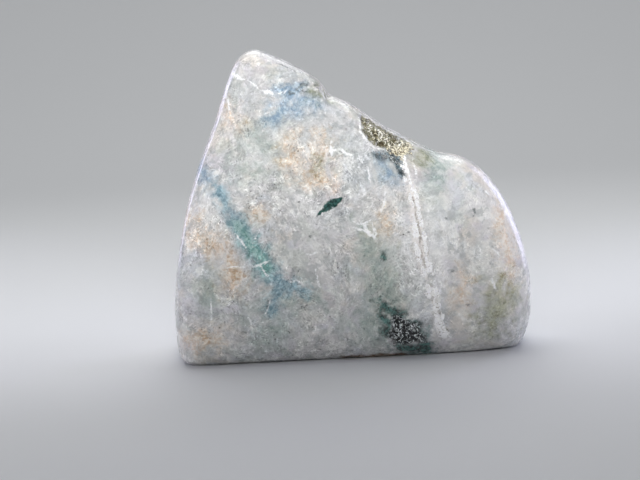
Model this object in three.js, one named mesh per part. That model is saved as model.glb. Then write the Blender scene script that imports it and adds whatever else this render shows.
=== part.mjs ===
// A polished jade stone: one thick, soft-edged slab that stands on a narrow flat along its underside.
// Millimetres. X runs along the width, the front face looks towards -Y, and Z is up from the flat.
import * as THREE from 'three';
import { mergeVertices } from 'three/addons/utils/BufferGeometryUtils.js';

// Driving dimensions
const HALF_WIDTH = 25;
const PEAK_HEIGHT = 42.8;
const THICKNESS_AT_BASE = 21.5;
const THICKNESS_AT_PEAK = 14.5;
const FACE_CROWN = 0.8; // how far each broad face swells where it is fullest
const CROWN_CENTRE = 0.42; // share of the height at which it is fullest
const CROWN_REACH = 0.6; // share of the height over which the crown falls away
const WALL_BULGE = 1.2; // how far the side wall draws in where it meets a face
const BACK_TAPER = 2.6; // how much further the upper wall draws in towards the back
const TAPER_START = 2; // height at which that taper begins
const TAPER_FULL = 24; // height from which it is full
const MEAN_EDGE_RADIUS = 4.4;
const EDGE_RADIUS_RISE_TO_RIGHT = 1.4;
const EDGE_RADIUS_FALL_TO_PEAK = 1.0;

// The back has a second, thinner plane on its right, which meets the first in a soft diagonal ridge
const BACK_PLANE_DEPTH = 9.4;
const BACK_PLANE_SLOPE = -0.12;
const RIDGE_SOFTNESS = 1.6;

// Each broad face also rises and dips in one slow wave. The spans are the lengths over which its angle turns
// by one radian, and the shifts are in radians.
const FRONT_WAVE = { height: 0.2, spanX: 8, spanZ: 9, shiftX: 0.6, shiftZ: 0 };
const BACK_WAVE = { height: 0.4, spanX: 11, spanZ: 13, shiftX: -0.9, shiftZ: 0.5 };

// The stone's outline seen from the front, as [x, z], clockwise from the lower left corner.
// It dips under z = 0 along the bottom, where the flat cuts it.
const OUTLINE_POINTS = [
  [-23.6, -0.3],
  [-24.7, 1.1],
  [-25.0, 4.2],
  [-24.9, 8.3],
  [-24.2, 13.9],
  [-22.6, 20.9],
  [-20.3, 27.6],
  [-17.9, 33.2],
  [-15.9, 38.6],
  [-14.4, 41.5],
  [-12.1, 42.8],
  [-9.3, 41.7],
  [-6.2, 40.1],
  [-3.6, 38.4],
  [-2.3, 36.6],
  [-1.4, 35.7],
  [0.5, 35.0],
  [3.1, 33.1],
  [6.2, 30.9],
  [9.5, 29.1],
  [12.8, 27.3],
  [15.4, 26.8],
  [18.2, 25.2],
  [20.8, 22.1],
  [23.0, 17.8],
  [24.5, 12.7],
  [25.0, 7.5],
  [24.6, 3.2],
  [22.9, -0.1],
  [19.5, -0.9],
  [0, -0.9],
  [-21.5, -0.9],
];
const OUTLINE_SEGMENTS = 240;

// A shallow unpolished hollow on the front of the upper right edge, as an ellipsoid that is cut away
const HOLLOW_CENTRE = new THREE.Vector3(6.3, -8.3, 29);
const HOLLOW_HALF_LENGTH = 4.6;
const HOLLOW_HALF_DEPTH = 1.6;
const HOLLOW_HALF_HEIGHT = 1.9;
const HOLLOW_SLOPE = THREE.MathUtils.degToRad(-30);

// A divided block, drawn over the stone's four corners [x, z], is carried out to the surface along rays
// that start at the heart
const HEART = new THREE.Vector3(1.4, 0, 17.5);
const LOWER_LEFT = [-24, 1];
const LOWER_RIGHT = [24, 1];
const PEAK = [-12.5, 42];
const SHOULDER = [18, 25];
const BLOCK_CELLS = new THREE.Vector3(32, 14, 28);
const CROWDING = 0.5; // share of the spacing that crowds towards the block's edges
const RAY_LENGTH = 40;
const RAY_HALVINGS = 34;

const outlineCurve = new THREE.CatmullRomCurve3(
  OUTLINE_POINTS.map(([x, z]) => new THREE.Vector3(x, 0, z)),
  true,
);
const outline = outlineCurve.getSpacedPoints(OUTLINE_SEGMENTS).slice(0, OUTLINE_SEGMENTS);

// Distance from (x, z) to the outline, positive inside it and negative outside
function insetFromOutline(x, z) {
  let inside = false;
  let nearest = Infinity;
  for (let i = 0; i < outline.length; i += 1) {
    const a = outline[i];
    const b = outline[(i + 1) % outline.length];
    const runX = b.x - a.x;
    const runZ = b.z - a.z;
    const along = ((x - a.x) * runX + (z - a.z) * runZ) / (runX * runX + runZ * runZ);
    const t = THREE.MathUtils.clamp(along, 0, 1);
    nearest = Math.min(nearest, Math.hypot(x - a.x - t * runX, z - a.z - t * runZ));
    const spansHeight = a.z > z !== b.z > z;
    if (spansHeight && x < a.x + ((z - a.z) * runX) / runZ) {
      inside = !inside;
    }
  }
  return inside ? nearest : -nearest;
}

// The edges are rounder towards the right side and tighter towards the peak
function edgeRadius(x, z) {
  const rightward = (EDGE_RADIUS_RISE_TO_RIGHT * x) / HALF_WIDTH;
  const upward = (EDGE_RADIUS_FALL_TO_PEAK * z) / PEAK_HEIGHT;
  return MEAN_EDGE_RADIUS + rightward - upward;
}

// How far the side wall lies inside the outline at distance y from the middle plane
function wallDraw(y, z) {
  const share = y / (THICKNESS_AT_BASE / 2);
  const taper = BACK_TAPER * THREE.MathUtils.smoothstep(z, TAPER_START, TAPER_FULL);
  return WALL_BULGE * share * share + taper * Math.max(0, share);
}

// The lesser of two depths, with the crease between them rounded off
function softMinimum(a, b, softness) {
  const blend = Math.max(0, softness - Math.abs(a - b)) / softness;
  return Math.min(a, b) - (blend * blend * softness) / 4;
}

function waveHeight(wave, x, z) {
  return wave.height * Math.sin(x / wave.spanX + wave.shiftX) * Math.cos(z / wave.spanZ + wave.shiftZ);
}

// Distance of a broad face from the middle plane, before the edges are rounded
function faceDepth(x, z, isFront) {
  const wedge = THREE.MathUtils.lerp(THICKNESS_AT_BASE, THICKNESS_AT_PEAK, z / PEAK_HEIGHT) / 2;
  const offCentreZ = (z - CROWN_CENTRE * PEAK_HEIGHT) / (CROWN_REACH * PEAK_HEIGHT);
  const offCentre = Math.hypot(x / HALF_WIDTH, offCentreZ);
  const crown = FACE_CROWN * (Math.max(0, 1 - offCentre * offCentre) - 0.5);
  if (isFront) {
    return wedge + crown + waveHeight(FRONT_WAVE, x, z);
  }
  const thinPlane = BACK_PLANE_DEPTH + BACK_PLANE_SLOPE * x;
  return softMinimum(wedge, thinPlane, RIDGE_SOFTNESS) + crown + waveHeight(BACK_WAVE, x, z);
}

function isInHollow(point) {
  const fromCentre = point.clone().sub(HOLLOW_CENTRE);
  fromCentre.applyAxisAngle(new THREE.Vector3(0, 1, 0), HOLLOW_SLOPE);
  const u = fromCentre.x / HOLLOW_HALF_LENGTH;
  const v = fromCentre.y / HOLLOW_HALF_DEPTH;
  const w = fromCentre.z / HOLLOW_HALF_HEIGHT;
  return u * u + v * v + w * w < 1;
}

function isStone(point) {
  if (point.z < 0 || isInHollow(point)) {
    return false;
  }
  const inset = insetFromOutline(point.x, point.z) - wallDraw(point.y, point.z);
  if (inset <= 0) {
    return false;
  }
  const radius = edgeRadius(point.x, point.z);
  const short = Math.max(0, radius - inset);
  const drop = radius - Math.sqrt(radius * radius - short * short);
  return Math.abs(point.y) < faceDepth(point.x, point.z, point.y < 0) - drop;
}

// The last point of the ray from the heart that is still inside the stone
function surfacePoint(direction) {
  let inner = 0;
  let outer = RAY_LENGTH;
  const point = new THREE.Vector3();
  for (let i = 0; i < RAY_HALVINGS; i += 1) {
    const middle = (inner + outer) / 2;
    point.copy(HEART).addScaledVector(direction, middle);
    if (isStone(point)) {
      inner = middle;
    } else {
      outer = middle;
    }
  }
  return point.copy(HEART).addScaledVector(direction, inner);
}

// Crowds an even spread from -1 to 1 towards its ends, so that the rounded edges get more points
function crowd(share) {
  return (1 - CROWDING) * share + CROWDING * Math.sin((share * Math.PI) / 2);
}

// Carries a point of the block with sides from -1 to 1 to its place between the stone's four corners
function blockPoint(across, through, up) {
  const right = (1 + crowd(across)) / 2;
  const top = (1 + crowd(up)) / 2;
  const [x, z] = [0, 1].map((axis) => {
    const lower = THREE.MathUtils.lerp(LOWER_LEFT[axis], LOWER_RIGHT[axis], right);
    const upper = THREE.MathUtils.lerp(PEAK[axis], SHOULDER[axis], right);
    return THREE.MathUtils.lerp(lower, upper, top);
  });
  return new THREE.Vector3(x, (crowd(through) * THICKNESS_AT_BASE) / 2, z);
}

function stoneGeometry() {
  const block = new THREE.BoxGeometry(2, 2, 2, BLOCK_CELLS.x, BLOCK_CELLS.y, BLOCK_CELLS.z);
  block.deleteAttribute('normal');
  block.deleteAttribute('uv');
  const geometry = mergeVertices(block);
  const position = geometry.getAttribute('position');
  for (let i = 0; i < position.count; i += 1) {
    const start = blockPoint(position.getX(i), position.getY(i), position.getZ(i));
    const { x, y, z } = surfacePoint(start.sub(HEART).normalize());
    position.setXYZ(i, x, y, z);
  }
  // The origin is under the middle of the stone's box
  geometry.computeBoundingBox();
  const middle = geometry.boundingBox.getCenter(new THREE.Vector3());
  geometry.translate(-middle.x, -middle.y, 0);
  geometry.computeVertexNormals();
  return geometry;
}

const polishedJade = new THREE.MeshStandardMaterial({ color: 0xb4bcba, roughness: 0.22, metalness: 0 });

const jadeStone = new THREE.Mesh(stoneGeometry(), polishedJade);
jadeStone.name = 'jade_stone';

const stone = new THREE.Group();
stone.add(jadeStone);

export default stone;
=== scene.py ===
# %% [markdown]
# # A polished jade stone
# The real object is one piece of pale jadeite, tumbled and polished until its edges went soft. The packed
# CAD part gives its size and place. This lesson turns that plain solid into the stone: first a finer skin is
# laid over it, then the markings are laid out on the skin, then its relief is worked, from broad waves down
# to a crumbling vein, and last it gets its colours, its polish and its light.

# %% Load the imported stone
import math

import bmesh
import bpy
import numpy as np
from mathutils import Matrix, Vector, noise


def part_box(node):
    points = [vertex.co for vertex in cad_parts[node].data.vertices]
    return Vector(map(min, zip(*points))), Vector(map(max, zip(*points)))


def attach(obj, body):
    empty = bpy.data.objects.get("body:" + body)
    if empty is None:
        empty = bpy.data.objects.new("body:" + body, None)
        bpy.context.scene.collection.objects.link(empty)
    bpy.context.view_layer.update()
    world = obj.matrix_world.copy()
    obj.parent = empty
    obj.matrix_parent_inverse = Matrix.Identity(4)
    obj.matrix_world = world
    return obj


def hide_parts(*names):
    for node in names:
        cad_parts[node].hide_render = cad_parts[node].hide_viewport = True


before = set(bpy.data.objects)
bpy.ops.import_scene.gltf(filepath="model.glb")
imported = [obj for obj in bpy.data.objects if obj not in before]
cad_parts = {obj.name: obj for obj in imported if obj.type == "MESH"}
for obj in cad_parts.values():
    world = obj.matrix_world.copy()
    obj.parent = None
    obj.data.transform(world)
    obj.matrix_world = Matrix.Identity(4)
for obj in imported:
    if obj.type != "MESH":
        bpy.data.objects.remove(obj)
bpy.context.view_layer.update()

MM = 0.001
stone_low, stone_high = [np.array(corner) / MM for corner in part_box("jade_stone")]
print("stone, in millimetres:", (stone_high - stone_low).round(1))

# %% [markdown]
# ## A finer skin
# Tumbling leaves a skin with no corners at all, so the faceted solid is only a guide. A voxel remesh lays
# even squares over it, and a smoothing pass melts its facets away. A subdivision surface could round the
# facets too, but it keeps their uneven spacing, and fine relief needs even squares. The front face carries
# most of the detail, so its squares are cut once more.

# %% Remesh the solid and cut the front finer
SKIN_SQUARE = 0.38  # millimetres
FACES_FRONT = -0.35  # a face belongs to the front if its normal's y is below this


def new_object(name, data):
    """An object with this data, in the scene."""
    made = bpy.data.objects.new(name, data)
    bpy.context.scene.collection.objects.link(made)
    return made


def mesh_after(piece, kind, **settings):
    """The mesh of a piece after one modifier."""
    modifier = piece.modifiers.new(kind.lower(), kind)
    for name, value in settings.items():
        setattr(modifier, name, value)
    shown = piece.evaluated_get(bpy.context.evaluated_depsgraph_get())
    made = bpy.data.meshes.new_from_object(shown)
    piece.modifiers.clear()
    return made


def cut_finer(piece, chosen):
    """Cuts each edge of the chosen faces in two."""
    skin = bmesh.new()
    skin.from_mesh(piece.data)
    edges = {edge for face in skin.faces if chosen(face) for edge in face.edges}
    bmesh.ops.subdivide_edges(skin, edges=list(edges), cuts=1, use_grid_fill=True)
    skin.to_mesh(piece.data)
    skin.free()


stone = new_object("polished_jade_stone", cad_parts["jade_stone"].data.copy())
stone.data.transform(Matrix.Scale(1 / MM, 4))  # the stone is worked in millimetres
stone.data = mesh_after(stone, "WELD", merge_threshold=0.001)
stone.data = mesh_after(stone, "REMESH", mode="VOXEL", voxel_size=SKIN_SQUARE)
stone.data = mesh_after(stone, "SMOOTH", factor=0.5, iterations=12)
cut_finer(stone, lambda face: face.normal.y < FACES_FRONT)
stone.data = mesh_after(stone, "SMOOTH", factor=0.5, iterations=3)
print("points in the skin:", len(stone.data.vertices), "faces:", len(stone.data.polygons))

# %% [markdown]
# ## Tools for working the skin
# Sculpting by hand would be lost when the script is run again, so the skin is worked by arithmetic: every
# point gets a value that depends on where it lies. Two things decide that value. One is smooth random lumps
# of a chosen size in millimetres. The other is how far the point lies from a line drawn on the front face,
# given as [x, z] in millimetres from the middle of the stone's foot.

# %% Read the skin, and make random lumps
SEED_SHIFT = 17.3  # how far apart the lumps of two seeds are read
FINER_BY = 2.0  # each octave's lumps are this much smaller than the last one's
FAINTER_BY = 0.9  # and their height falls as this power of their size

points = np.empty((len(stone.data.vertices), 3))
stone.data.vertices.foreach_get("co", points.ravel())
first_points = points.copy()
first_normals = np.empty_like(points)
stone.data.vertex_normals.foreach_get("vector", first_normals.ravel())
print("skin read:", first_points.min(0).round(2), first_points.max(0).round(2))


def lumps(size, seed, octaves=1):
    """Smooth random values, mostly from -1 to 1, in lumps about `size` millimetres across."""
    places = (first_points / size + SEED_SHIFT * seed).tolist()
    if octaves == 1:
        return np.array([noise.noise(place) for place in places])
    return np.array([noise.fractal(place, FAINTER_BY, FINER_BY, octaves) for place in places])


def soft_step(low, high, value):
    """0 at low, 1 at high, and a smooth slope between."""
    share = np.clip((value - low) / (high - low), 0, 1)
    return share * share * (3 - 2 * share)


# %% Draw smooth lines and loops on the front
REACH = 5.0  # millimetres: how far off a line its distance is worked out
STEPS_PER_SPAN = 6


def line_through(stops, closed=False):
    """A smooth line through its stops, each [x, z] or [x, z, half-width]."""
    stops = np.array(stops, float)
    if closed:
        ends = np.vstack([stops[-1], stops, stops[0], stops[1]])
    else:
        ends = np.vstack([2 * stops[0] - stops[1], stops, 2 * stops[-1] - stops[-2]])
    steps = np.linspace(0, 1, STEPS_PER_SPAN, endpoint=False)[:, None]
    spans = []
    for a, b, c, d in zip(ends, ends[1:], ends[2:], ends[3:]):
        bend = 2 * a - 5 * b + 4 * c - d
        spans.append(b + 0.5 * steps * (c - a + steps * (bend + steps * (3 * b - 3 * c + d - a))))
    return np.vstack([*spans, ends[-2:-1]])


def past_edge(line, across, up):
    """How far each point lies outside a line of [x, z, half-width]: negative inside its width."""
    outside = np.full(len(across), REACH)
    if len(line) == 1:
        line = np.vstack([line, line])
    for (x, z, width), (next_x, next_z, next_width) in zip(line, line[1:]):
        near = (np.abs(across - x) < REACH + width) & (np.abs(up - z) < REACH + width)
        where = np.nonzero(near)[0]
        run_x, run_z = next_x - x, next_z - z
        off_x, off_z = across[where] - x, up[where] - z
        share = np.clip((off_x * run_x + off_z * run_z) / max(run_x**2 + run_z**2, 1e-9), 0, 1)
        apart = np.hypot(off_x - share * run_x, off_z - share * run_z)
        apart -= width * (1 - share) + next_width * share
        outside[where] = np.minimum(outside[where], apart)
    return outside


def inside_loop(corners, across, up):
    """How far each point lies inside a closed loop: negative outside it."""
    line = line_through(corners, closed=True)
    inside = np.zeros(len(across), bool)
    for (x, z), (next_x, next_z) in zip(line, line[1:]):
        if z == next_z:
            continue
        crosses = (z > up) != (next_z > up)
        inside ^= crosses & (across < x + (up - z) * (next_x - x) / (next_z - z))
    off = past_edge(np.column_stack([line, np.zeros(len(line))]), across, up)
    return np.where(inside, off, -off)

# %% [markdown]
# ## Where the markings lie
# Colour in jade lies in sheets and clouds that run through the body, so a streak on the front comes out
# again on the sides and back, shifted and bent. The markings could be painted on a flat picture, but a
# picture can't go round the edges. Here each marking is a few stops of [x, z, half-width] in millimetres,
# looked up not at a point's own place but where its sheet meets the front: the deeper the point, the further
# the sheet has leaned and wandered.

# %% Follow each sheet from the front into the body
FRONT_EDGE = 6.0  # the front face and its rounded edge lie further forward than this
SHEET_LEAN = (0.26, -0.15)  # millimetres along x and z for each millimetre of depth
SHEET_WANDER = 0.16  # and the share of the depth that it strays at random
WOBBLE = 0.16  # millimetres that an edge strays in lumps of 1.3 mm
FINE_WOBBLE = 0.05  # and in lumps of 0.4 mm
FRONT_FROM, FRONT_FULL = 2.5, 5.0  # millimetres before the middle plane: what counts as the front

depth = np.maximum(first_points[:, 1] + FRONT_EDGE, 0)
across = first_points[:, 0] + depth * (SHEET_LEAN[0] + SHEET_WANDER * lumps(9, seed=3))
up = first_points[:, 2] + depth * (SHEET_LEAN[1] + SHEET_WANDER * lumps(9, seed=4))
on_front = soft_step(FRONT_FROM, FRONT_FULL, -first_points[:, 1])
across = across + WOBBLE * lumps(1.3, seed=5) + FINE_WOBBLE * lumps(0.4, seed=6)
up = up + WOBBLE * lumps(1.3, seed=7) + FINE_WOBBLE * lumps(0.4, seed=8)
print("sheets stray up to", round(float(np.abs(across - first_points[:, 0]).max()), 1), "mm")

# %% [markdown]
# A marking is kept as one number for each point: 1 in its heart, 0 at its edge, and less outside, as far
# as -3. The colour nodes can then fray that edge with grain far finer than the skin's squares.

# %% Turn stops into marks
FAR_OUTSIDE = -3.0
marks = {}


def only_where(part, share):
    """Keeps a marking to one part of the stone: 1 on that part and 0 off it."""
    return (share - FAR_OUTSIDE) * part + FAR_OUTSIDE


def mark(name, strokes, softness, where=None):
    """Adds strokes of [x, z, half-width] stops to a marking. Softness is the width of the edge."""
    share = marks.setdefault(name, np.full(len(points), FAR_OUTSIDE))
    for stops in strokes:
        line = line_through(stops) if len(stops) > 1 else np.array(stops)
        outside = past_edge(line, across, up)
        heart = max(stop[2] for stop in stops)
        new = np.where(outside < 0, -outside / heart, np.maximum(-outside / softness, FAR_OUTSIDE))
        if where is not None:
            new = only_where(where, new)
        np.maximum(share, new, out=share)


# %% [markdown]
# ## The blue and green streak
# Blue-green jade owes its colour to a little iron and titanium in bands that were squeezed between the pale
# grains. The main streak comes over the left edge as a dusty blue, turns green at its heart, and ends in a
# steel-blue fork.

# %% Lay out the streak, its fork and the paler clouds of the same colours
mark("streak", [
    [(-18.0, 24.9, 0.05), (-17.3, 23.8, 0.3), (-16.5, 22.2, 0.35)],
], softness=0.9)
mark("streak", [
    [(-16.7, 22.4, 0.2), (-15.6, 20.6, 0.6), (-14.7, 18.9, 1.0), (-13.7, 17.0, 1.1), (-12.6, 15.2, 1.0),
     (-11.6, 13.5, 0.9), (-10.7, 12.0, 0.9), (-9.9, 10.8, 1.0)],
    [(-9.8, 10.9, 0.8), (-8.5, 10.7, 0.6), (-7.4, 10.4, 0.4), (-6.4, 9.9, 0.1)],
    [(-10.1, 10.4, 0.5), (-10.7, 8.8, 0.3), (-11.3, 7.2, 0.1)],
], softness=1.2)
mark("streak_green", [[(-14.9, 19.2, 0.2), (-14.2, 18.0, 0.6), (-13.2, 16.2, 1.0), (-12.2, 14.4, 0.9),
                       (-11.5, 13.0, 0.5)]], softness=1.2)

mark("blue_cloud", [
    [(-8.2, 35.0, 0.5), (-8.8, 34.2, 0.6), (-9.6, 33.4, 0.4)],
    [(-6.4, 36.2, 0.4), (-4.8, 35.8, 0.4), (-3.4, 35.2, 0.2)],
    [(-21.6, 28.6, 0.5), (-20.0, 27.0, 0.5), (-18.8, 25.6, 0.4)],
    [(4.8, 26.6, 0.2), (5.6, 25.7, 0.4), (6.4, 24.8, 0.2)],
], softness=1.5)
mark("blue_cloud", [
    [(-5.7, 37.4, 0.3), (-6.5, 36.8, 0.7), (-7.2, 36.0, 0.9), (-7.9, 35.1, 0.7), (-6.6, 34.4, 0.4)],
    [(-9.2, 37.4, 0.3), (-7.8, 36.9, 0.6)],
], softness=1.0)

mark("green_cloud", [
    [(2.6, 17.6, 0.8), (2.8, 15.2, 1.4), (3.2, 12.2, 1.6), (3.8, 9.6, 1.4), (2.0, 5.0, 1.6)],
    [(4.4, 14.6, 0.5), (4.6, 12.4, 0.7), (4.4, 10.4, 1.0), (5.6, 8.0, 1.0)],
    [(12.3, 26.4, 0.9), (11.9, 24.8, 0.9)],
    [(3.4, 5.0, 1.0), (3.8, 3.2, 0.9)],
    [(-9.8, 9.2, 0.7), (-8.4, 8.4, 0.8)],
    [(-11.4, 8.0, 0.6), (-10.2, 6.6, 1.0)],
    [(-6.6, 9.8, 0.6), (-4.8, 9.0, 0.6)],
    [(-13.0, 31.0, 0.5), (-11.4, 30.4, 0.9), (-9.8, 29.6, 0.6)],
    [(-14.6, 27.2, 0.4), (-12.8, 26.2, 0.4)],
    [(-12.6, 6.0, 0.8), (-11.0, 4.2, 1.4)],
    [(-19.3, 12.0, 0.4), (-19.0, 8.8, 0.6)],
], softness=1.8)

# %% [markdown]
# Not all of the stone has colour. Pale haloes lie along the vein and in a few more places, where the grain
# bleached, and ashy clouds lie between them.

# %% Lay out the pale haloes and the ashy clouds
mark("halo", [
    [(4.6, 22.4, 0.7), (6.6, 19.8, 1.2), (7.1, 16.2, 1.5), (8.4, 12.8, 1.1), (10.4, 9.2, 0.8)],
    [(5.4, 23.0, 0.5), (7.0, 23.6, 0.5)],
    [(10.3, 21.0, 0.5), (11.0, 17.0, 0.6), (11.4, 12.6, 0.5), (11.9, 9.6, 0.2)],
    [(-21.4, 21.6, 0.6), (-20.2, 20.2, 0.9), (-18.2, 19.4, 0.5), (-18.6, 22.0, 0.3)],
    [(-5.6, 22.4, 0.6), (-4.4, 19.4, 0.6)],
    [(2.4, 21.8, 0.4), (3.4, 20.4, 0.5)],
    [(-12.6, 28.6, 0.3), (-12.0, 27.6, 0.4)],
    [(2.6, 28.6, 0.4), (3.2, 26.4, 0.5)],
], softness=1.8)
mark("ash", [
    [(-8.4, 40.0, 0.7), (-7.0, 39.0, 0.8), (-6.2, 37.8, 0.7)],
    [(-12.0, 37.6, 0.4), (-10.6, 36.9, 0.5)],
    [(-8.8, 38.2, 0.4), (-8.0, 36.8, 0.8), (-7.4, 35.6, 0.4)],
    [(-7.0, 33.6, 0.3), (-4.8, 33.3, 0.7), (-3.0, 33.4, 0.6)],
    [(-5.8, 30.4, 0.6), (-3.8, 31.4, 1.1), (-1.8, 31.2, 0.8)],
    [(-0.6, 29.9, 0.9), (1.1, 29.6, 1.1), (2.2, 26.6, 0.5), (2.4, 24.8, 0.3)],
    [(-16.4, 17.2, 0.2), (-15.6, 15.8, 0.2)],
    [(-14.4, 13.0, 0.3), (-13.6, 11.0, 0.4)],
    [(-10.8, 32.2, 0.4), (-9.9, 31.4, 0.5)],
    [(-14.0, 36.4, 0.4), (-12.4, 36.0, 0.6)],
    [(-12.4, 22.2, 0.5), (-11.0, 21.2, 0.7), (-10.8, 20.0, 0.6)],
    [(-13.0, 8.0, 0.4), (-12.4, 6.4, 0.6)],
    [(-2.6, 19.6, 0.5), (-1.4, 20.4, 0.5)],
    [(12.4, 26.6, 0.5), (11.9, 24.8, 0.6)],
    [(16.8, 14.6, 0.4), (17.0, 13.2, 0.5)],
    [(17.8, 5.8, 0.8), (20.4, 4.4, 1.6), (22.4, 2.6, 1.6)],
], softness=1.6)

# %% [markdown]
# ## Dark green inclusions
# Small clots of almost black green are grains of another pyroxene, richer in iron. The clearest is a
# leaf-shaped one in the middle of the front, and the largest spills down beside the crystal pocket. A dark
# band along the foot under the pocket is painted shade. Under the rough hollow the same mineral is spread
# thin and looks slate blue.

# %% Lay out the dark inclusions
mark("leaf", [
    [(-4.3, 20.2, 0.06), (-3.6, 20.8, 0.2), (-2.9, 21.3, 0.5), (-2.1, 21.8, 0.5), (-1.4, 22.1, 0.3),
     (-0.8, 22.4, 0.06)],
], softness=0.3, where=on_front)
mark("dark_green_and_foot_shade", [
    [(3.6, 9.0, 0.1), (3.8, 8.2, 0.4), (4.5, 7.3, 0.8), (5.6, 6.6, 0.7), (6.8, 5.9, 0.4), (8.6, 4.3, 0.3),
     (9.4, 2.6, 0.3)],
    [(3.8, 7.6, 0.2), (3.7, 6.4, 0.4), (4.5, 5.2, 0.5), (4.2, 3.6, 0.3)],
    # This stroke along the foot under the pocket is painted shade.
    [(5.6, 2.2, 0.5), (7.0, 1.2, 1.0), (9.6, 1.2, 1.0)],
], softness=0.9)
mark("dark_green_and_foot_shade", [[(4.3, 14.5, 0.06), (4.5, 13.8, 0.14)]], softness=0.4)
mark("slate", [
    [(3.9, 28.0, 0.1), (4.8, 27.9, 0.35), (5.9, 27.7, 0.6), (6.6, 27.1, 0.6), (7.0, 26.0, 0.4),
     (7.4, 25.2, 0.1)],
    [(5.4, 28.3, 0.2), (6.5, 28.0, 0.3), (7.2, 27.0, 0.2)],
], softness=0.7, where=on_front)
mark("dark_fleck", [
    [(-6.3, 37.2, 0.14), (-5.6, 37.9, 0.24), (-5.0, 37.7, 0.14)],
    [(-7.4, 36.8, 0.1), (-6.9, 36.6, 0.18)],
    [(-5.6, 36.9, 0.12), (-5.1, 36.8, 0.14)],
    [(-8.6, 40.6, 0.05), (-7.9, 40.3, 0.1), (-6.8, 39.8, 0.08), (-6.0, 39.3, 0.1)],
    [(-11.7, 8.9, 0.1), (-11.9, 8.0, 0.16)],
    [(17.0, 20.0, 0.12), (16.9, 19.2, 0.05)],
    [(15.5, 7.2, 0.14)],
    [(12.8, 19.0, 0.1), (13.2, 18.8, 0.05)],
    [(18.6, 22.2, 0.06), (18.9, 21.8, 0.1)],
    [(-13.9, 28.4, 0.15)],
    [(13.6, 11.8, 0.1)],
    [(-5.5, 17.4, 0.08)],
], softness=0.3, where=on_front)

# %% [markdown]
# ## Iron stains
# Where water crept in along the grain it left rust: peach where it is thin, orange-brown where it gathered,
# and olive in the notch, beside the rough hollow and low on the right.

# %% Lay out the stains
mark("peach", [
    [(-7.4, 30.9, 0.7), (-7.7, 28.8, 0.9), (-6.4, 26.8, 1.1), (-5.2, 25.6, 0.9)],
    [(-3.6, 30.6, 0.5), (-3.3, 28.4, 0.9), (-4.4, 26.0, 1.2), (-2.2, 24.6, 0.7)],
    [(-21.6, 20.2, 0.8), (-21.0, 18.4, 1.2), (-19.4, 17.3, 1.4), (-17.6, 16.8, 0.9), (-16.6, 17.4, 0.5)],
    [(-16.6, 14.8, 0.7), (-15.9, 12.9, 1.1), (-16.4, 11.0, 0.9)],
    [(-15.6, 34.4, 0.4), (-14.8, 33.0, 0.5)],
    [(4.5, 19.6, 0.4), (4.6, 18.4, 0.7)],
    [(15.2, 10.9, 0.4), (14.9, 9.2, 0.6), (14.6, 7.4, 0.3)],
    [(20.6, 18.6, 0.3), (21.2, 14.6, 0.6), (21.6, 10.6, 0.4)],
    [(-22.2, 4.0, 1.0), (-19.6, 4.0, 1.1)],
    [(-14.4, 19.6, 0.7), (-12.2, 21.2, 0.8)],
], softness=1.4)
mark("rust", [
    [(-20.8, 17.8, 0.4), (-19.4, 17.0, 0.6), (-18.2, 16.6, 0.4)],
    [(-16.2, 15.6, 0.3), (-16.1, 14.0, 0.4), (-15.8, 12.4, 0.6)],
    [(-5.0, 25.2, 0.3), (-3.8, 25.4, 0.4)],
    [(4.4, 19.0, 0.35)],
    [(-20.6, 4.6, 0.5), (-20.0, 3.6, 0.4)],
    [(-7.6, 28.6, 0.3), (-7.3, 27.6, 0.25)],
], softness=0.9)
mark("olive", [
    [(-4.4, 36.8, 0.2), (-3.4, 36.6, 0.4), (-2.5, 36.2, 0.5), (-1.9, 35.6, 0.3)],
    [(-3.6, 27.4, 0.2), (-4.2, 26.4, 0.3)],
    [(9.6, 27.4, 0.5), (10.6, 26.8, 0.4)],
], softness=1.0)
mark("olive", [[(19.8, 9.4, 0.4), (20.4, 6.6, 1.0), (18.8, 4.6, 0.8)]], softness=2.6)

# %% [markdown]
# ## Frost
# Jade that has been strained shows white: each hairline crack scatters light like ground glass. A few long
# ones stand out, and between them hundreds of short ones give the stone its felted grain.

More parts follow.
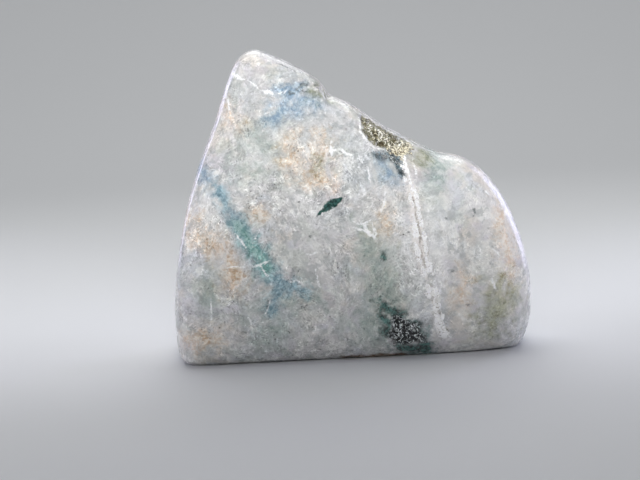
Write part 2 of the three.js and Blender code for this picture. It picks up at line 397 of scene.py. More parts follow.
# %% Lay out the cracks that stand out
mark("frost", [
    [(-15.0, 39.7, 0.30), (-13.9, 39.1, 0.26), (-12.9, 38.8, 0.05), (-11.9, 38.1, 0.16), (-11.0, 37.4, 0.05),
     (-10.3, 37.1, 0.28), (-9.2, 36.8, 0.10), (-8.2, 37.0, 0.16), (-7.6, 37.2, 0.05)],
    [(-15.7, 36.4, 0.06), (-15.5, 35.0, 0.14)],
    [(-1.9, 30.1, 0.06), (-2.1, 29.0, 0.3), (-2.0, 28.0, 0.08)],
    [(-0.9, 29.0, 0.12), (-0.1, 28.5, 0.14), (0.6, 28.1, 0.12)],
    [(1.7, 27.5, 0.1), (2.1, 27.0, 0.12)],
    [(2.6, 26.6, 0.05), (2.9, 25.2, 0.12), (3.1, 24.4, 0.05)],
    [(4.3, 20.2, 0.05), (4.7, 21.6, 0.12), (5.1, 23.3, 0.05)],
    [(-15.6, 18.3, 0.05), (-14.8, 17.3, 0.14), (-14.2, 16.1, 0.06)],
    [(-13.7, 13.6, 0.06), (-12.4, 14.0, 0.12), (-10.9, 14.5, 0.05)],
    [(-16.9, 13.7, 0.06), (-15.6, 13.8, 0.1), (-14.4, 13.6, 0.05)],
    [(-6.3, 15.4, 0.05), (-5.4, 15.0, 0.15), (-4.6, 15.4, 0.05)],
    [(-4.9, 13.0, 0.05), (-4.8, 11.8, 0.1), (-4.5, 10.6, 0.15)],
    [(-11.3, 9.0, 0.05), (-12.1, 7.3, 0.1)],
    [(-14.4, 6.9, 0.05), (-14.0, 5.7, 0.1)],
    [(-8.9, 11.3, 0.05), (-7.6, 11.5, 0.08), (-6.6, 11.0, 0.05)],
    [(-19.3, 9.6, 0.05), (-19.4, 6.7, 0.08)],
    [(0.6, 19.2, 0.08), (1.5, 18.8, 0.14), (2.2, 18.9, 0.18), (2.9, 19.3, 0.1), (3.4, 19.6, 0.05)],
    [(1.8, 18.7, 0.14), (2.3, 17.9, 0.30), (3.0, 17.1, 0.22), (3.5, 16.5, 0.06)],
    [(0.2, 18.6, 0.05), (1.0, 18.2, 0.16), (1.9, 17.9, 0.1)],
    [(3.1, 19.2, 0.06), (3.2, 18.2, 0.12), (3.4, 17.0, 0.1)],
    [(18.8, 22.1, 0.2), (19.3, 21.4, 0.1)],
    [(17.1, 15.2, 0.08), (17.6, 14.1, 0.12)],
    [(19.2, 14.5, 0.05), (20.0, 13.6, 0.1)],
    [(18.8, 10.5, 0.1), (19.3, 9.2, 0.15)],
    [(8.9, 27.0, 0.05), (9.2, 25.8, 0.12), (9.1, 25.0, 0.05)],
    [(-2.7, 29.6, 0.05), (-2.0, 29.0, 0.16), (-1.0, 28.9, 0.05)],
    [(-13.4, 16.2, 0.04), (-13.0, 17.4, 0.06), (-12.2, 18.8, 0.04)],
    [(-10.9, 12.0, 0.04), (-11.6, 12.6, 0.07), (-12.3, 13.8, 0.04)],
], softness=0.2, where=on_front)

# %% Scatter the felt of short cracks over the whole stone
FELT_CRACKS = 520
FELT_LEAN = (62, 38)  # degrees: their mean lean, and how widely it is scattered
FELT_SHEET = 8  # millimetres that each crack goes on into the body, to the front and to the back
FELT_EDGE = 0.2  # millimetres over which its edge fades
FELT_REACH = 0.6  # millimetres past its ends, beyond which it isn't worked out
FELT_TIP = 0.02  # its half-width at the ends

dice = np.random.default_rng(7)
felt = np.full(len(points), -1.0)  # the felt is 1 in its heart, and -1 is far enough outside it
for _ in range(FELT_CRACKS):
    x, y, z = dice.uniform(stone_low, stone_high)
    lean = math.radians(dice.normal(*FELT_LEAN))
    half_length = dice.uniform(0.25, 1.0)
    bend = dice.normal(0, 0.12)
    tip = half_length * np.array([math.cos(lean), math.sin(lean)])
    belly = bend * np.array([-math.sin(lean), math.cos(lean)])
    near = np.abs(first_points[:, 1] - y) < FELT_SHEET
    near &= np.hypot(first_points[:, 0] - x, first_points[:, 2] - z) < half_length + FELT_REACH
    where = np.nonzero(near)[0]
    if len(where) == 0:
        continue
    width = dice.uniform(0.03, 0.1)
    start = (x - tip[0], z - tip[1], FELT_TIP)
    end = (x + tip[0], z + tip[1], FELT_TIP)
    crack = np.array([start, (x + belly[0], z + belly[1], width), end])
    outside = past_edge(crack, first_points[where, 0], first_points[where, 2])
    strength = dice.uniform(0.25, 1.0)
    share = np.clip(-outside / FELT_EDGE, -1, 1)
    felt[where] = np.maximum(felt[where], share * strength - (1 - strength))
marks["felt"] = felt
print("felt cracks reach", int((felt > -0.2).sum()), "points")

# %% [markdown]
# ## The white vein
# A crack that healed with white albite crosses the right of the front: one strand at first, then two, and
# loose clusters at the foot. Albite is softer than jade, so the tumbler left it crumbly, in beads with
# darker gaps. Each strand's width goes up and down from stop to stop, and noise does the rest.

# %% Lay out the vein
LEFT_STRAND = [
    (7.5, 28.0, 0.08), (7.9, 26.7, 0.10), (8.2, 25.4, 0.10), (8.4, 24.2, 0.12), (8.5, 23.0, 0.22),
    (8.4, 21.6, 0.10), (8.6, 20.2, 0.26), (8.7, 18.8, 0.06), (8.8, 17.4, 0.30), (8.8, 15.9, 0.08),
    (9.0, 14.4, 0.28), (9.3, 12.9, 0.08), (9.7, 11.9, 0.24), (10.0, 11.2, 0.06),
]
RIGHT_STRAND = [
    (8.6, 23.8, 0.03), (9.0, 22.6, 0.12), (9.3, 21.4, 0.18), (9.4, 20.2, 0.06), (9.6, 19.0, 0.20),
    (9.9, 17.4, 0.05), (10.0, 15.8, 0.20), (10.1, 14.4, 0.06), (10.4, 12.8, 0.24), (10.7, 11.6, 0.14),
]
LOW_STRANDS = [
    [(10.0, 9.9, 0.10), (10.3, 9.2, 0.40), (10.3, 8.5, 0.12)],
    [(11.1, 9.5, 0.10), (11.2, 8.9, 0.32), (11.0, 8.2, 0.10)],
    [(10.8, 7.9, 0.10), (11.0, 7.0, 0.26), (11.2, 5.8, 0.34), (11.4, 4.6, 0.38), (11.8, 3.6, 0.24),
     (12.4, 2.8, 0.12)],
    [(11.5, 8.0, 0.06), (11.7, 6.6, 0.16), (11.9, 5.2, 0.20), (12.2, 4.0, 0.08), (12.9, 2.8, 0.08)],
    [(11.3, 3.9, 0.10), (11.3, 2.9, 0.08)],
]
BETWEEN_STRANDS = [
    (8.7, 22.2, 0.03), (8.9, 20.6, 0.05), (9.1, 18.8, 0.05), (9.3, 17.0, 0.06), (9.4, 15.0, 0.05),
    (9.7, 13.4, 0.06), (10.2, 12.0, 0.03),
]
CHIPS = [[(7.2, 26.4, 0.05), (7.4, 25.9, 0.16)], [(7.5, 25.0, 0.12), (7.7, 24.4, 0.18)]]
mark("strand", [LEFT_STRAND, RIGHT_STRAND, *LOW_STRANDS, *CHIPS], softness=0.2)
# Thin dark lines between and beside the raised strands: painted shadow.
mark("shadow_beside_strands", [
    BETWEEN_STRANDS,
    [(10.7, 9.4, 0.04), (10.8, 8.6, 0.06), (10.6, 7.9, 0.03)],
    [(11.4, 7.0, 0.03), (11.6, 5.6, 0.05), (11.8, 4.6, 0.03)],
    [(12.3, 5.0, 0.03), (12.5, 4.2, 0.06), (12.8, 3.4, 0.03)],
], softness=0.18, where=on_front)
mark("vein_bed", [
    [(7.8, 27.0, 0.1), (8.2, 24.6, 0.4), (8.7, 21.6, 0.7), (9.1, 18.4, 0.8), (9.3, 15.6, 0.8),
     (9.6, 13.0, 0.7), (10.2, 11.2, 0.2), (10.7, 9.0, 0.2), (11.4, 6.0, 0.2), (11.8, 3.4, 0.1)],
], softness=0.6)

# %% [markdown]
# ## Two rough places
# The polish never reached two places: a hollow along the upper edge that still holds olive, crystalline
# rind, and a pocket of dark crystals at the foot, whose glitter is painted on as bright slivers.

# %% Lay out the hollow and the pocket
ROUGH_EDGE = 0.5  # millimetres inside its outline at which a rough place is in full force
HOLLOW = [
    (2.5, 32.9), (2.6, 31.4), (3.0, 30.5), (4.0, 29.4), (5.4, 28.7), (6.6, 28.0), (7.7, 27.8), (9.2, 28.4),
    (8.8, 29.4), (7.4, 30.1), (5.4, 31.4), (3.8, 32.6),
]
# The lip is a near-white line painted along the hollow's lower-left rim: a painted highlight where it faces
# the light.
LIP = [
    (2.0, 32.9, 0.08), (2.1, 31.4, 0.15), (2.5, 30.4, 0.16), (3.2, 29.6, 0.10), (4.0, 28.9, 0.06),
    (4.9, 28.6, 0.10), (5.7, 28.3, 0.04),
]
POCKET = [
    (5.4, 6.2), (6.5, 5.6), (7.8, 4.9), (8.7, 3.8), (9.3, 2.6), (7.2, 2.2), (5.2, 2.4), (4.8, 3.2),
    (5.2, 4.5),
]
mark("lip", [LIP], softness=0.2, where=on_front)
mark("gold", [
    [(5.9, 28.9, 0.2), (7.0, 28.3, 0.5), (8.2, 28.4, 0.5), (9.4, 28.8, 0.2)],
    [(6.6, 28.2, 0.3), (7.2, 27.6, 0.3), (7.5, 26.8, 0.1)],
], softness=0.6, where=on_front)
# The cavity is dark, and the bright lines laid on it are painted glints.
mark("cavity", [
    [(4.9, 28.0, 0.1), (5.7, 27.6, 0.2), (6.5, 27.0, 0.2), (6.9, 26.3, 0.14)],
], softness=0.35, where=on_front)
for name, corners in (("hollow", HOLLOW), ("pocket", POCKET)):
    share = np.clip(inside_loop(corners, across, up) / ROUGH_EDGE, FAR_OUTSIDE, 1)
    marks[name] = only_where(on_front, share)

# %% [markdown]
# The right third of the face is calmer than the rest, and the stone rests on a brown weathered skin.

# %% Lay out the calm side and the weathered foot
CALM_FROM, CALM_FULL = 8.5, 13.0  # millimetres to the right of the middle
FOOT_SKIN_MIDDLE = (3.0, -2.0)  # [x, y]
FOOT_SKIN_RADII = (8.0, 7.5)
FOOT_SKIN_TOP = 1.3  # it thins out from the very foot up to this height

# The calm side goes from 0 to 1, and the foot's skin from -1 to 1
marks["calm"] = soft_step(CALM_FROM, CALM_FULL, across + 1.5 * lumps(5, seed=9))
foot_lens = np.hypot((first_points[:, 0] - FOOT_SKIN_MIDDLE[0]) / FOOT_SKIN_RADII[0],
                     (first_points[:, 1] - FOOT_SKIN_MIDDLE[1]) / FOOT_SKIN_RADII[1])
foot_lens += 0.2 * lumps(2.5, seed=10)
foot_skin = soft_step(1.15, 0.8, foot_lens) * soft_step(FOOT_SKIN_TOP, 0.3, first_points[:, 2])
marks["foot_skin"] = 2 * foot_skin - 1

for name, share in marks.items():
    stone.data.attributes.new(name, "FLOAT", "POINT").data.foreach_set("value", share.astype(np.float32))
print("markings:", ", ".join(marks))

# %% [markdown]
# ## The relief
# No tumbled face is a true plane. Broad, very low waves bend the reflections, which is most of what tells a
# polished stone from a plastic block. Finer relief follows the markings: cracks are shallow grooves, the
# vein stands a little proud and crumbles, and the two rough places are sunk and rugged.

# %% Push the skin in and out along its normals
NOTCH = (-1.8, 36.0)  # where two lobes of the top edge meet, [x, z]
LOBE = (-3.6, 37.2)  # the lobe beside it

# Heights and depths, in millimetres
BROAD_WAVES = 0.07
RIPPLES = 0.014
CRACK_DEPTH = 0.03
FELT_DEPTH = 0.012
LEAF_DEPTH = 0.10
DARK_DEPTH = 0.05
STRAND_HEIGHT = 0.07
BEAD_HEIGHT = 0.15
BED_DEPTH = 0.05
HOLLOW_DEPTH = 0.38
CRUST_HEIGHT = 0.30
POCKET_DEPTH = 0.26
SHARD_HEIGHT = 0.16
LOBE_HEIGHT = 0.22
NOTCH_DEPTH = 0.55
PIT_DEPTH = 0.12


def push(amount):
    """Moves every point along its first normal, by its own amount in millimetres."""
    points[:] = points + first_normals * amount[:, None]


push(BROAD_WAVES * lumps(7.0, seed=1) + RIPPLES * lumps(2.4, seed=2))

crack_floor = soft_step(-0.4, 0.8, marks["frost"]) * CRACK_DEPTH
crack_floor += soft_step(-0.2, 0.8, marks["felt"]) * FELT_DEPTH
push(-crack_floor)

leaf_floor = soft_step(-0.5, 0.6, marks["leaf"]) * (LEAF_DEPTH + 0.05 * lumps(0.6, seed=11))
dark_floor = soft_step(-0.2, 0.8, marks["dark_green_and_foot_shade"]) * DARK_DEPTH * (1 + lumps(0.5, seed=12))
push(-leaf_floor - dark_floor)

crumbs = lumps(0.42, seed=13, octaves=2)
strand_crest = soft_step(-0.6, 0.5, marks["strand"]) * (STRAND_HEIGHT + BEAD_HEIGHT * crumbs)
bed_floor = soft_step(-0.6, 0.4, marks["vein_bed"]) * (BED_DEPTH + 0.06 * np.maximum(crumbs, 0))
push(strand_crest - bed_floor)

# In the rough places, ridges stand where a noise passes through zero
rough_hollow = soft_step(-0.9, 0.5, marks["hollow"])
crust = 1 - 2.4 * np.abs(lumps(0.75, seed=14, octaves=2))
push(rough_hollow * (CRUST_HEIGHT * crust - HOLLOW_DEPTH))

rough_pocket = soft_step(-0.7, 0.5, marks["pocket"])
shards = 1 - 2.6 * np.abs(lumps(0.5, seed=15, octaves=2))
push(rough_pocket * (SHARD_HEIGHT * shards - POCKET_DEPTH))

# The notch cuts the front of the top edge, and fades out towards the back
notch = np.hypot(first_points[:, 0] - NOTCH[0], first_points[:, 2] - NOTCH[1])
lobe = np.hypot(first_points[:, 0] - LOBE[0], first_points[:, 2] - LOBE[1])
forward = soft_step(2.0, -4.0, first_points[:, 1])
push(LOBE_HEIGHT * soft_step(1.6, 0, lobe) - NOTCH_DEPTH * soft_step(0.9, 0, notch) * forward)

pits = np.maximum(lumps(1.0, seed=16, octaves=2), 0)
push(-soft_step(-0.5, 0.5, marks["foot_skin"]) * PIT_DEPTH * pits)
points[:, 2] = np.maximum(points[:, 2], 0)
moved = ((points - first_points) * first_normals).sum(1)
print("moved, most in and most out:", moved.min().round(2), moved.max().round(2))

# %% Set the stone down at its real size
stone.data.vertices.foreach_set("co", points.ravel())
stone.data.transform(Matrix.Scale(MM, 4))
stone.data.polygons.foreach_set("use_smooth", np.ones(len(stone.data.polygons), bool))
stone.data.update()
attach(stone, "root")
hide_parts("jade_stone")

# %% [markdown]
# ## Polished jadeite
# Jadeite is a felt of interlocking pyroxene grains. Polished, it has a soft, slightly oily gloss, and light
# goes a millimetre or so into it and comes out again, so its shadows are never hard. Its index of refraction
# is 1.66. The colours could come from one noise through a ramp, but a stone has several things happening at
# once: slow clouds of hue, a mosaic of millimetre grains, a felt of fibres, and stains that follow cracks.
# Each is its own layer here, at its own size.

# %% Node helpers and true colours
MIX_A, MIX_B, MIXED = 6, 7, 2  # the colour sockets of a Mix node


def linear(hex_colour):
    """An sRGB hex colour as linear red, green, blue and alpha."""
    shares = [int(hex_colour[i:i + 2], 16) / 255 for i in (1, 3, 5)]
    return (*[s / 12.92 if s <= 0.04045 else ((s + 0.055) / 1.055) ** 2.4 for s in shares], 1.0)


def add(kind, inputs, **settings):
    """Adds a node to the jade: its settings by name, and its inputs as values or as outputs to link."""
    node = nodes.new("ShaderNode" + kind)
    for name, value in settings.items():
        setattr(node, name, value)
    for name, source in inputs.items():
        if isinstance(source, bpy.types.NodeSocket):
            jade.node_tree.links.new(source, node.inputs[name])
        else:
            node.inputs[name].default_value = source
    return node


def reckon(operation, *values):
    """One step of arithmetic on numbers and outputs."""
    return add("Math", dict(enumerate(values)), operation=operation).outputs[0]


def slope(value, start, full, low=0.0, high=1.0, kind="LINEAR"):
    """Low where the value is at its start, high where it is full, and a slope between."""
    ends = {"Value": value, "From Min": start, "From Max": full, "To Min": low, "To Max": high}
    return add("MapRange", ends, interpolation_type=kind).outputs[0]


def blend(share, under, over):
    """One colour over another, covering this share of it."""
    return add("Mix", {0: share, MIX_A: under, MIX_B: over}, data_type="RGBA").outputs[MIXED]


def noise_in(place, size, seed, detail, roughness=0.5, distortion=0.0):
    """Noise around zero, in lumps about `size` millimetres across. Each seed has its own pattern."""
    inputs = {"Vector": place, "W": seed, "Scale": 1 / size, "Detail": detail, "Roughness": roughness,
              "Distortion": distortion}
    return add("TexNoise", inputs, noise_dimensions="4D", normalize=False).outputs["Fac"]


def marking(name):
    """A marking's number at each place."""
    return add("Attribute", {}, attribute_name=name).outputs["Fac"]


jade = bpy.data.materials.new("tumbled_and_polished_jadeite")
jade.use_nodes = True
nodes = jade.node_tree.nodes
polish = nodes["Principled BSDF"]
stone.data.materials.clear()
stone.data.materials.append(jade)

# %% [markdown]
# The grain of a squeezed stone is bent, so the clouds, the grains and the fibres are looked up at a place
# that has first been shifted by slow noise. Most other patterns keep their true place. All lengths are in
# millimetres.

# %% Places in the stone, in millimetres, gently bent
BEND_SIZE = 9.0
BEND_BY = 1.4

place = add("TexCoord", {}).outputs["Object"]
true_place = add("VectorMath", {0: place, "Scale": 1 / MM}, operation="SCALE").outputs[0]
bend = add("TexNoise", {"Vector": true_place, "Scale": 1 / BEND_SIZE, "Detail": 1.0}, normalize=False)
bent_place = add("VectorMath", {0: bend.outputs["Color"], 1: (BEND_BY,) * 3, 2: true_place},
                 operation="MULTIPLY_ADD").outputs[0]

# %% Slow clouds of hue
# Each cloud: its size in millimetres, its seed, where its noise starts to show and is full, colour, cover.
CLOUDS = [
    (6.0, 3.7, -0.10, 0.45, "#bfc4c9", 0.55),  # cool grey
    (5.0, 7.4, 0.00, 0.45, "#cac3b9", 0.60),  # warm grey
    (3.8, 11.1, 0.05, 0.45, "#b6bbb4", 0.50),  # sage
    (3.2, 14.8, 0.12, 0.50, "#c0bcc3", 0.45),  # lilac grey
    (2.2, 18.5, 0.08, 0.45, "#dcdcd8", 0.60),  # cream
    (1.7, 22.2, 0.12, 0.45, "#9b9f9f", 0.55),  # slate
]
colour = linear("#c6c5c4")
for size, seed, start, full, tint, cover in CLOUDS:
    cloud = noise_in(bent_place, size, seed, detail=3.0, roughness=0.6)
    amount = slope(cloud, start, full, high=cover, kind="SMOOTHSTEP")
    colour = blend(amount, colour, linear(tint))

# %% [markdown]
# ## Stains
# Each marking laid out earlier now meets its pigment. Noise as fine as the grain is added to the marking
# before its edge is found, so that the edge frays along the grain, as a stain in stone does. No stain is one
# flat colour: it is stronger in the seams between the grains, so each has a colour for the seams and one for
# the grains.

# %% Noises that fray edges and pick seams
fray_coarse = noise_in(bent_place, 1.6, seed=21.0, detail=4.0, roughness=0.65)
fray_fine = noise_in(true_place, 0.4, seed=31.0, detail=2.0, roughness=0.7)
seams = noise_in(true_place, 0.6, seed=35.0, detail=2.5, roughness=0.7, distortion=0.8)


def lay(colour, rows):
    """Lays pigments over a colour. Returns the new colour, and how far the pigments cover it."""
    covered = 0.0
    for name, fray, fray_by, start, full, picker, low, low_tint, high, high_tint, cover in rows:
        frayed = reckon("MULTIPLY_ADD", fray, fray_by, marking(name))
        amount = slope(frayed, start, full, high=cover, kind="SMOOTHSTEP")
        tint = blend(slope(picker, low, high), linear(low_tint), linear(high_tint))
        colour = blend(amount, colour, tint)
        covered = reckon("MAXIMUM", covered, amount)
    return colour, covered


# %% Lay the stains
# Each row: the marking, what frays it and how much, where it starts and is full, then the noise that picks
# between its two colours, its value for each colour, the two colours, and the cover.
STAINS = [
    ("halo", fray_coarse, 1.2, -1.8, 1.4, seams, -0.35, "#d6d6d4", 0.3, "#ededec", 0.65),
    ("ash", fray_coarse, 1.3, -1.7, 1.2, seams, -0.3, "#8f969a", 0.3, "#b4b9bc", 0.55),
    ("green_cloud", fray_coarse, 1.2, -1.8, 1.4, seams, -0.3, "#7d938a", 0.3, "#a4b0a8", 0.64),
    ("blue_cloud", fray_coarse, 1.1, -1.5, 0.9, seams, -0.3, "#6b879e", 0.3, "#9bafbd", 0.82),
    ("peach", fray_coarse, 1.3, -1.6, 1.2, seams, -0.35, "#ccb091", 0.2, "#e3d9cc", 0.66),
    ("rust", fray_coarse, 1.4, -1.0, 1.6, seams, -0.3, "#b18e67", 0.25, "#dccdb8", 0.50),
    ("olive", fray_coarse, 1.3, -1.4, 1.0, seams, -0.3, "#74744c", 0.3, "#999a78", 0.70),
    ("streak", fray_coarse, 0.9, -1.3, 0.6, seams, -0.35, "#648694", 0.3, "#98b1ba", 0.88),
    ("streak_green", fray_coarse, 0.9, -1.2, 1.1, seams, -0.35, "#66968b", 0.3, "#97b7ae", 0.72),
    ("slate", fray_coarse, 1.1, -1.3, 0.7, seams, -0.3, "#18282c", 0.35, "#5c757f", 0.92),
    ("dark_green_and_foot_shade", fray_coarse, 1.2, -1.3, 0.7, seams, -0.3, "#0c2522", 0.35, "#48746e", 0.95),
]
colour, _ = lay(colour, STAINS)

# %% [markdown]
# ## Grain
# The mosaic has grains of about a millimetre, paler in their middles, with grit between them. Over it lie
# fibres in three directions, and here and there a hair: a fibre that broke and left a bright line, drawn
# with a painted shaded side, as its relief would look in light from above. Real ones are a hundredth of a
# millimetre thick. They are drawn fifteen times as thick, because finer ones would vanish in the render.
# All of it comes and goes in patches, since the polish takes better where the grain is finer.

# %% Millimetre grains, clots, grit and specks
GRAIN_SIZE = 1.1
CLOT_SIZE = 1.2
GRIT_SIZE = 0.3
SPECK_SIZE = 0.35
PATCH_SIZE = 4.5

calm = marking("calm")
quiet = slope(calm, 0.0, 1.0, low=1.0, high=0.65)
polish_patches = noise_in(bent_place, PATCH_SIZE, seed=71.0, detail=2.0)
lively = slope(polish_patches, -0.25, 0.25, low=0.60, high=1.25)
liveliness = reckon("MULTIPLY", quiet, lively)

grains = add("TexVoronoi", {"Vector": bent_place, "Scale": 1 / GRAIN_SIZE, "Smoothness": 0.5},
             feature="SMOOTH_F1")
grain_light = slope(grains.outputs["Distance"], 0.15, 0.75, low=1.0, high=-1.0)
clots = noise_in(bent_place, CLOT_SIZE, seed=9.1, detail=2.0)
grit = add("TexNoise", {"Vector": true_place, "Scale": 1 / GRIT_SIZE, "Detail": 1.0, "Roughness": 0.6},
           normalize=False).outputs["Fac"]
specks = noise_in(true_place, SPECK_SIZE, seed=77.0, detail=0.0)
pale_specks = slope(specks, 0.42, 0.60)
dark_specks = slope(specks, -0.45, -0.65)

# %% Fibres in three directions
FIBRE_THICKNESS = 0.15
FIBRE_LENGTH = 0.8
FIBRE_PATCH = 1.8
FIBRE_SHAPE = (1 / FIBRE_LENGTH, 0.5 / FIBRE_THICKNESS, 1 / FIBRE_THICKNESS)

# Each direction: how far the fibres turn about y, their seed, and the seed of their patches.
fibre_light = 0.0
for turn, seed, patch_seed in ((0.35, 5.3, 8.9), (1.25, 10.6, 17.8), (2.2, 15.9, 26.7)):
    turned = add("VectorRotate", {"Vector": bent_place, "Angle": turn}, rotation_type="Y_AXIS").outputs[0]
    stretched = add("VectorMath", {0: turned, 1: FIBRE_SHAPE}, operation="MULTIPLY").outputs[0]
    fibres = noise_in(stretched, 1.0, seed, detail=1.0)
    patches = noise_in(true_place, FIBRE_PATCH, patch_seed, detail=1.0)
    patch = slope(patches, 0.0, 0.4, kind="SMOOTHSTEP")
    fibre_light = reckon("MULTIPLY_ADD", fibres, patch, fibre_light)

# %% Hairs: thin lines where a noise passes through zero, broken into short lengths
# Each kind of hair: how tightly it curls in millimetres, its seed, the seed of its breaks, and its strength.
# Its width and its painted shaded side are given in the noise's own height.
HAIRS = [(1.7, 61.0, 62.5, 1.0), (1.0, 64.0, 65.5, 0.8)]
HAIR_WIDTH = 0.09
SHADE_OFF = 0.13
SHADE_WIDTH = 0.04
SHADE_STRENGTH = -0.5
BREAK_SIZE = 0.9

hairs = 0.0
for curl, seed, break_seed, strength in HAIRS:
    curls = noise_in(true_place, curl, seed, detail=1.5, roughness=0.6, distortion=1.2)
    line = slope(reckon("ABSOLUTE", curls), HAIR_WIDTH, 0.0)
    shaded = reckon("COMPARE", curls, SHADE_OFF, SHADE_WIDTH)
    height = reckon("MULTIPLY_ADD", shaded, SHADE_STRENGTH, line)
    breaks = noise_in(true_place, BREAK_SIZE, break_seed, detail=1.0)
    whole = slope(breaks, 0.0, 0.25, high=strength)
    hairs = reckon("MULTIPLY_ADD", height, whole, hairs)

# %% Fold the grain into the colour as lighter and darker
# Each layer: the pattern, and how far it lightens or darkens the stone.
GRAIN_LAYERS = [
    (grain_light, 0.03), (clots, 0.22), (grit, 0.20), (fibre_light, 0.34), (hairs, 0.42), (pale_specks, 0.36),
    (dark_specks, -0.50),
]
shade = 0.0
for pattern, strength in GRAIN_LAYERS:
    shade = reckon("MULTIPLY_ADD", pattern, strength, shade)
calm_gain = slope(calm, 0.0, 1.0, low=1.02, high=1.13)
gain = reckon("MULTIPLY_ADD", shade, liveliness, calm_gain)
colour = add("VectorMath", {0: colour, "Scale": gain}, operation="SCALE").outputs[0]

# %% [markdown]
# ## Cracks, inclusions and the crumbling places
# These lie over the grain and hide it. The vein is sugary albite: near-white grains with dark gaps between.
# The rind in the hollow is khaki crystals with brown seams, crossed by cream ridges as thin as wire whose
# near-white is partly painted highlight, and the pocket is almost black, with glints painted on as bright
# slivers. Noise passes through zero along thin, winding lines, and those lines serve as the seams, the
# ridges and the painted glints. A second noise widens the gaps between the glints.

# %% Noises for crumbs, seams and slivers
CRUMB_SIZE = 0.8
GAP_WIDENING = 0.18

crumb = noise_in(true_place, CRUMB_SIZE, seed=41.0, detail=2.0, roughness=0.6)
shard = noise_in(true_place, CRUMB_SIZE, seed=47.0, detail=1.5, roughness=0.6, distortion=1.0)
off_seam = reckon("ABSOLUTE", shard)
long_shard = noise_in(true_place, CRUMB_SIZE, seed=53.0, detail=1.0, distortion=1.8)
off_long = reckon("ABSOLUTE", long_shard)
glint_gap = reckon("MAXIMUM", crumb, 0.0)
off_glint = reckon("MULTIPLY_ADD", glint_gap, GAP_WIDENING, off_long)
blocks = noise_in(true_place, CRUMB_SIZE, seed=59.0, detail=1.5, distortion=1.2)
off_block = reckon("ABSOLUTE", blocks)

# %% Lay them over the grain, in rows like those of the stains
# The ridges' row has a large negative fray, so its cream, partly painted highlight, lies only where the
# noise is close to zero.
INCLUSIONS = [
    ("foot_skin", fray_coarse, 0.8, -0.2, 0.8, seams, -0.3, "#5d4430", 0.3, "#86694a", 0.90),
    ("dark_fleck", fray_fine, 1.0, -0.6, 0.5, seams, -0.3, "#465052", 0.3, "#7b807f", 0.75),
    ("leaf", fray_fine, 0.5, -0.4, 0.1, seams, -0.3, "#15302d", 0.3, "#35605a", 1.00),
    ("felt", fray_fine, 0.8, -0.2, 0.9, seams, -0.3, "#e6e8e8", 0.3, "#f4f5f5", 0.50),
    ("frost", fray_fine, 0.9, -0.45, 0.7, seams, -0.3, "#eceeee", 0.3, "#ffffff", 0.90),
]
CRUMBLING = [
    ("vein_bed", fray_fine, 0.9, -0.9, 1.1, crumb, -0.1, "#f6f0ec", 0.35, "#b9b1aa", 0.80),
    ("shadow_beside_strands", fray_fine, 0.8, -0.6, 0.4, seams, -0.3, "#7d766f", 0.3, "#a8a098", 0.70),
    ("strand", crumb, 2.0, -0.6, -0.1, off_block, 0.01, "#9c948a", 0.05, "#ffffff", 1.00),
    ("hollow", fray_fine, 1.2, -0.9, 0.1, off_block, 0.04, "#221c0a", 0.18, "#827f65", 0.97),
    ("hollow", crumb, -1.8, 1.25, 1.7, seams, -0.3, "#30260f", 0.3, "#5c5030", 0.85),
    ("hollow", off_seam, -7.0, 0.1, 0.6, crumb, -0.3, "#e6e0c2", 0.1, "#fffef6", 1.00),
    # The cavity and pocket rows lay bright lines on dark ground: painted glints.
    ("cavity", fray_fine, 1.2, -0.6, 0.5, off_glint, 0.05, "#e8eeeb", 0.10, "#1f2d30", 0.90),
    ("gold", fray_fine, 1.4, -0.6, 1.0, off_block, 0.04, "#6a5c34", 0.14, "#fcf5df", 0.92),
    ("lip", fray_fine, 1.2, -0.3, 0.7, seams, -0.3, "#e9ebe8", 0.3, "#ffffff", 0.92),
    ("pocket", fray_coarse, 0.8, -1.1, 0.2, off_glint, 0.05, "#f4fbfb", 0.11, "#040a09", 0.98),
]
colour, _ = lay(colour, INCLUSIONS)
colour, rough_share = lay(colour, CRUMBLING)

# %% [markdown]
# ## Gloss and the finest relief
# The polish leaves pores between the grains, about a hundredth of a millimetre deep, and a duller surface
# where the grain is broken. The sharpest relief of the crumbling places is also too fine for the mesh, so a
# bump adds it over the relief that the mesh already has.

# %% Join it all to the polish
PORE_DEPTH = 0.010 * MM
CRUMB_DEPTH = 0.11 * MM
FINEST_POLISH, DULLEST_POLISH = 0.20, 0.30  # roughness of the sound stone
BROKEN_GRAIN = 0.22  # roughness that the crumbling places add

pores = reckon("ADD", grit, hairs)
pore_bump = add("Bump", {"Height": pores, "Distance": PORE_DEPTH, "Strength": 0.8})
crumb_height = reckon("MULTIPLY", shard, rough_share)
crumb_bump = add("Bump", {"Height": crumb_height, "Distance": CRUMB_DEPTH, "Strength": 1.0,
                          "Normal": pore_bump.outputs[0]})
dullness = slope(clots, -0.4, 0.4, low=FINEST_POLISH, high=DULLEST_POLISH)
roughness = reckon("MULTIPLY_ADD", rough_share, BROKEN_GRAIN, dullness)

jade.node_tree.links.new(colour, polish.inputs["Base Color"])
jade.node_tree.links.new(roughness, polish.inputs["Roughness"])
jade.node_tree.links.new(crumb_bump.outputs[0], polish.inputs["Normal"])
polish.inputs["IOR"].default_value = 1.66
polish.inputs["Subsurface Weight"].default_value = 0.25
polish.inputs["Subsurface Radius"].default_value = (1.0, 1.0, 0.9)
polish.inputs["Subsurface Scale"].default_value = 0.9 * MM
print("nodes in the jade:", len(nodes))

# %% [markdown]
# ## Stage
# The stone stands on a wide, matt, pale dish, flat in the middle and turned up far away, so that no line of
# a horizon crosses the picture from any side.

# %% A pale dish
FLAT_RADIUS = 240  # millimetres, as are the next two
DISH_RADIUS = 800
RIM_HEIGHT = 420
RINGS = 48
SPOKES = 96

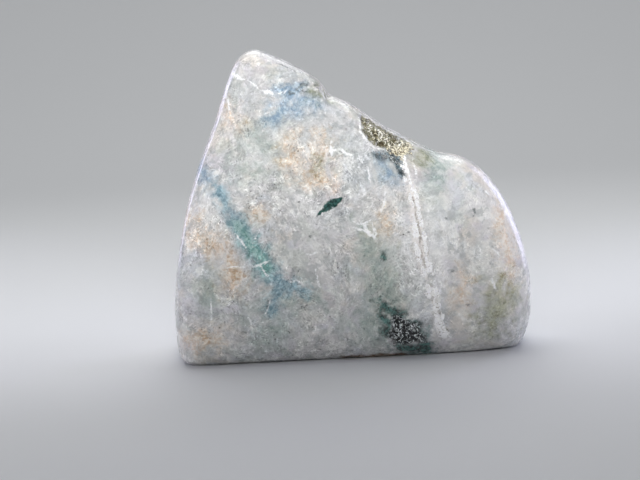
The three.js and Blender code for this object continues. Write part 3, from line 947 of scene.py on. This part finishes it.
turns = [2 * math.pi * spoke / SPOKES for spoke in range(SPOKES)]
radii = DISH_RADIUS * np.linspace(0, 1, RINGS + 1)[1:]
heights = RIM_HEIGHT * np.clip((radii - FLAT_RADIUS) / (DISH_RADIUS - FLAT_RADIUS), 0, 1) ** 2
dish_mesh = bmesh.new()
middle = dish_mesh.verts.new((0, 0, 0))
rings = []
for radius, height in zip(radii, heights):
    places = [Vector((radius * math.cos(turn), radius * math.sin(turn), height)) for turn in turns]
    ring = [dish_mesh.verts.new(place_on_rim * MM) for place_on_rim in places]
    for spoke in range(SPOKES):
        after = (spoke + 1) % SPOKES
        if rings:
            dish_mesh.faces.new((rings[-1][spoke], ring[spoke], ring[after], rings[-1][after]))
        else:
            dish_mesh.faces.new((middle, ring[spoke], ring[after]))
    rings.append(ring)
dish_data = bpy.data.meshes.new("pale_dish")
dish_mesh.to_mesh(dish_data)
dish_mesh.free()
dish_data.polygons.foreach_set("use_smooth", np.ones(len(dish_data.polygons), bool))
dish = new_object("pale_dish", dish_data)
paper = bpy.data.materials.new("matt_paper")
paper.use_nodes = True
matt = paper.node_tree.nodes["Principled BSDF"]
matt.inputs["Base Color"].default_value = linear("#dcdee0")
matt.inputs["Roughness"].default_value = 1.0
matt.inputs["Specular IOR Level"].default_value = 0.0
dish.data.materials.append(paper)

# %% [markdown]
# ## Light and camera
# One wide, shallow softbox hangs in front and above. A grid over it keeps its light off the floor, so the
# face is bright at its top and falls off towards the foot. A large softbox overhead lights the dish. One
# behind and above draws a pale line along the top edge, and one behind each side does the same for the
# sides. Two fills, far out on either side, lift the rounded edges of the front. The front softbox and the
# fills wear polarisers, which take their glare off the polish, so that the markings stay clear. The pale
# room fills the rest.

# %% Softboxes


def aim(thing, place, target, roll=0.0):
    """Puts a lamp or camera at a place, looking at a target, both in millimetres."""
    ahead = (Vector(target) - Vector(place)).normalized()
    level = ahead.cross(Vector((0, 0, 1))).normalized()
    upright = level.cross(ahead)
    right = math.cos(roll) * level - math.sin(roll) * upright
    top = math.sin(roll) * level + math.cos(roll) * upright
    turn = Matrix((right, top, -ahead)).transposed()
    thing.matrix_world = Matrix.Translation(Vector(place) * MM) @ turn.to_4x4()


def softbox(name, place, target, size, watts, grid=180, tint="#ffffff", glare=True):
    """A soft rectangular lamp. Its grid is the angle in degrees that its light may spread. Without glare
    it lights the stone but doesn't show in the polish."""
    lamp = bpy.data.lights.new(name, "AREA")
    lamp.shape = "RECTANGLE"
    lamp.size, lamp.size_y = size[0] * MM, size[1] * MM
    lamp.energy = watts
    lamp.spread = math.radians(grid)
    lamp.color = linear(tint)[:3]
    holder = new_object(name, lamp)
    holder.visible_glossy = glare
    aim(holder, place, target)


# Each softbox: its name, then its place, its target and its size in millimetres, then its watts
softbox("front_softbox", (0, -110, 70), (0, -9, 41), (220, 30), 0.039, grid=44, glare=False)
softbox("sweep_softbox", (0, 260, 640), (0, 150, 0), (800, 600), 2.0, grid=150)
softbox("back_softbox", (0, 300, 230), (0, 0, 20), (420, 160), 0.07, grid=50)
softbox("right_edge_light", (150, 130, 60), (12, 0, 18), (80, 150), 0.018, grid=60, tint="#dcdcff")
softbox("left_edge_light", (-140, 170, 60), (-12, 0, 18), (60, 140), 0.010, grid=60, tint="#e6e2ff")
softbox("right_fill", (220, -30, 60), (12, 0, 28), (60, 140), 0.010, grid=36, tint="#efecff", glare=False)
softbox("left_fill", (-220, -30, 60), (-12, 0, 28), (60, 140), 0.011, grid=36, tint="#efecff", glare=False)

room = bpy.data.worlds.new("pale_room")
room.use_nodes = True
walls = room.node_tree.nodes["Background"]
walls.inputs["Color"].default_value = linear("#e8e8ee")
walls.inputs["Strength"].default_value = 0.04
bpy.context.scene.world = room
bpy.context.scene.view_settings.view_transform = "Standard"

# %% Camera
CAMERA_DISTANCE = 250
CAMERA_ELEVATION = math.radians(8)
CAMERA_ROLL = math.radians(2.8)
LOOK_AT = Vector((-4.15, 0, 15.6))

camera_data = bpy.data.cameras.new("camera")
camera_data.lens = 100
camera_data.clip_start = 10 * MM
camera = new_object("camera", camera_data)
to_camera = Vector((0, -math.cos(CAMERA_ELEVATION), math.sin(CAMERA_ELEVATION)))
aim(camera, LOOK_AT + CAMERA_DISTANCE * to_camera, LOOK_AT, roll=CAMERA_ROLL)
bpy.context.scene.camera = camera
